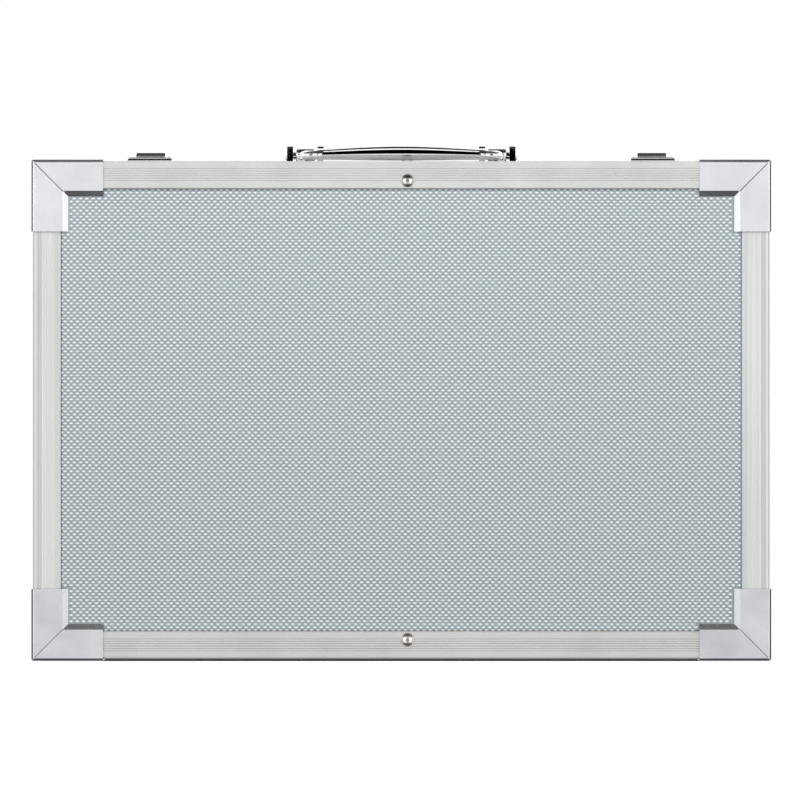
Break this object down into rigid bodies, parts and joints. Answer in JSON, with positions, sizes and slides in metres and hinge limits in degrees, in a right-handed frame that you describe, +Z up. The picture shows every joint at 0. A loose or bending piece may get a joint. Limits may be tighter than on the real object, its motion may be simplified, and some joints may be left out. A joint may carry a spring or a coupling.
{
  "type": "art supply box",
  "caption": "Slim aluminium-framed art case with textured silver panels, pressed corner caps, a folding chrome handle, draw latches and a long hinge between lid and base.",
  "frame": {"origin": "middle of the footprint, on the surface that the case stands on", "axes": "+X along the width, +Y from the lid's big face to the base's, +Z up, towards the handle"},
  "size_m": [0.402, 0.0668, 0.2813],
  "materials": {
    "aluminium_frame": "fluted extrusion, matte clear anodised",
    "panel_skin": "hardboard faced with a silver skin embossed with small raised dots",
    "corner_steel": "pressed sheet, satin nickel plating",
    "chrome_hardware": "bright chrome plating",
    "rivet_nickel": "bright nickel plating",
    "hinge_steel": "rolled steel, zinc plated",
    "tray_plastic": "vacuum formed black polystyrene, matte"
  },
  "bodies": {
    "base": {"base_cap_bottom_left": "corner_steel", "base_cap_bottom_right": "corner_steel", "base_cap_rivets": "rivet_nickel", "base_cap_top_left": "corner_steel", "base_cap_top_right": "corner_steel", "base_face_rivets": "rivet_nickel", "base_panel": "panel_skin", "base_rail_bottom": "aluminium_frame", "base_rail_left": "aluminium_frame", "base_rail_right": "aluminium_frame", "base_rail_top": "aluminium_frame", "base_tray": "tray_plastic", "bracket_rivets": "rivet_nickel", "handle_bracket_left": "chrome_hardware", "handle_bracket_right": "chrome_hardware", "handle_pin_left": "chrome_hardware", "handle_pin_right": "chrome_hardware", "hinge_base_rivets": "rivet_nickel", "hinge_leaf_base": "hinge_steel", "hinge_pin": "hinge_steel", "latch_left_lever_pin": "chrome_hardware", "latch_left_plate": "chrome_hardware", "latch_plate_rivets": "rivet_nickel", "latch_right_lever_pin": "chrome_hardware", "latch_right_plate": "chrome_hardware"},
    "lid": {"hinge_leaf_lid": "hinge_steel", "hinge_lid_rivets": "rivet_nickel", "latch_left_strike": "chrome_hardware", "latch_right_strike": "chrome_hardware", "latch_strike_rivets": "rivet_nickel", "lid_cap_bottom_left": "corner_steel", "lid_cap_bottom_right": "corner_steel", "lid_cap_rivets": "rivet_nickel", "lid_cap_top_left": "corner_steel", "lid_cap_top_right": "corner_steel", "lid_face_rivets": "rivet_nickel", "lid_panel": "panel_skin", "lid_rail_bottom": "aluminium_frame", "lid_rail_left": "aluminium_frame", "lid_rail_right": "aluminium_frame", "lid_rail_top": "aluminium_frame", "lid_top_rivet": "rivet_nickel", "lid_tray": "tray_plastic"},
    "handle": {"handle_grip": "chrome_hardware"},
    "latch_left_lever": {"latch_left_bail_pins": "chrome_hardware", "latch_left_lever": "chrome_hardware"},
    "latch_left_bail": {"latch_left_bail": "chrome_hardware"},
    "latch_right_lever": {"latch_right_bail_pins": "chrome_hardware", "latch_right_lever": "chrome_hardware"},
    "latch_right_bail": {"latch_right_bail": "chrome_hardware"}
  },
  "joints": [
    {"name": "lid_hinge", "type": "hinge", "parent": "base", "child": "lid", "pos_m": [0, 0, 0.0026], "axis": [1, 0, 0], "range_deg": [0, 105]},
    {"name": "handle_fold", "type": "hinge", "parent": "base", "child": "handle", "pos_m": [0, 0.015, 0.2759], "axis": [-1, 0, 0], "range_deg": [0, 180]},
    {"name": "latch_left_lever_turn", "type": "hinge", "parent": "base", "child": "latch_left_lever", "pos_m": [-0.1365, 0.008, 0.2741], "axis": [1, 0, 0], "range_deg": [0, 110]},
    {"name": "latch_left_bail_turn", "type": "hinge", "parent": "latch_left_lever", "child": "latch_left_bail", "pos_m": [-0.1365, 0.014, 0.2733], "axis": [1, 0, 0], "range_deg": [-110, 0]},
    {"name": "latch_right_lever_turn", "type": "hinge", "parent": "base", "child": "latch_right_lever", "pos_m": [0.1365, 0.008, 0.2741], "axis": [1, 0, 0], "range_deg": [0, 110]},
    {"name": "latch_right_bail_turn", "type": "hinge", "parent": "latch_right_lever", "child": "latch_right_bail", "pos_m": [0.1365, 0.014, 0.2733], "axis": [1, 0, 0], "range_deg": [-110, 0]}
  ],
  "couplings": [
    {"joint": "latch_left_bail_turn", "follows": "latch_left_lever_turn", "ratio": -1},
    {"joint": "latch_right_bail_turn", "follows": "latch_right_lever_turn", "ratio": -1}
  ]
}
